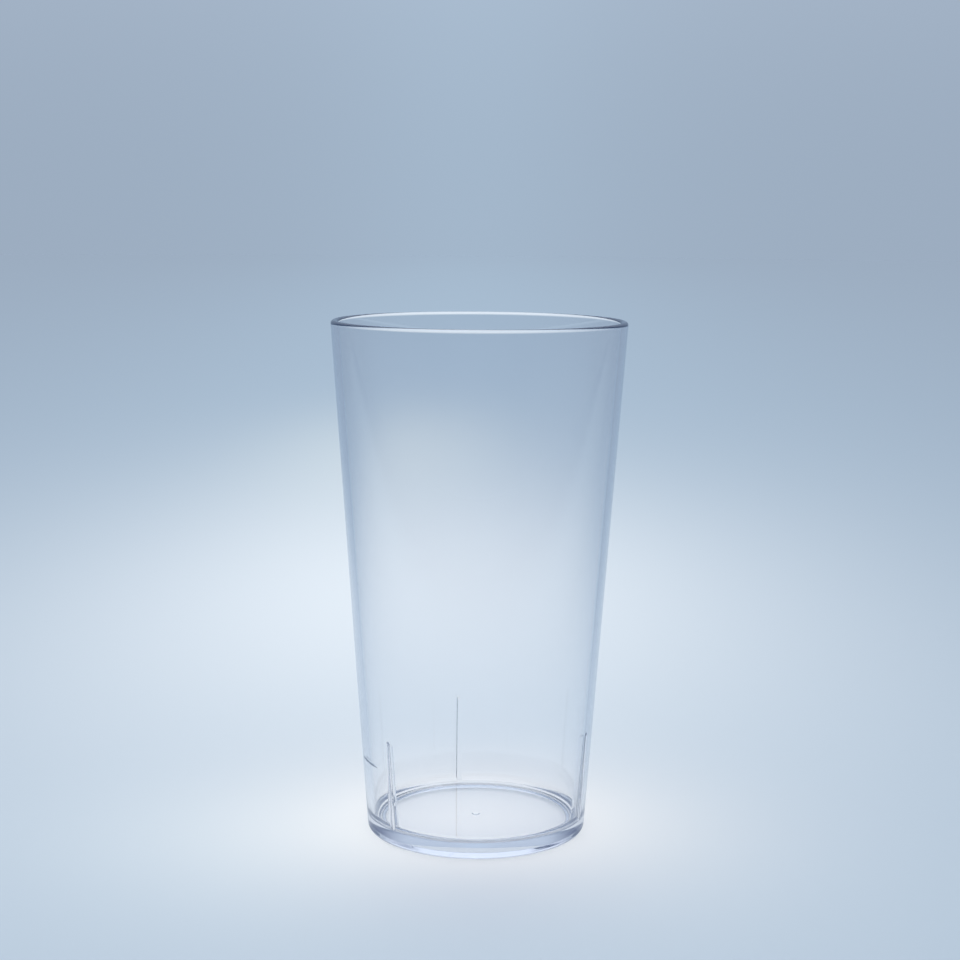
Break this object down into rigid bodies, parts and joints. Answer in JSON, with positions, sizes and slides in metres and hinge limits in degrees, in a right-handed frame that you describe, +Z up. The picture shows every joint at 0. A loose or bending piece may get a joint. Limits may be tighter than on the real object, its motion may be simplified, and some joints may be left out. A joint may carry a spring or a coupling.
{
  "type": "tumbler cup",
  "caption": "Tall tapered clear plastic drinking tumbler with a rounded lip, inner stacking ribs and a foot ring around a shallow recess.",
  "frame": {"origin": "on the cup's axis, at the level that the foot ring rests on", "axes": "+Z up along the cup's axis towards the mouth; +Y towards one stacking rib; -X towards the end of the short level mark on the inner wall that is nearer +Y"},
  "size_m": [0.0878, 0.0878, 0.1545],
  "materials": {
    "clear_plastic": "clear, polished, faintly blue"
  },
  "bodies": {
    "root": {"tumbler": "clear_plastic"}
  },
  "joints": []
}
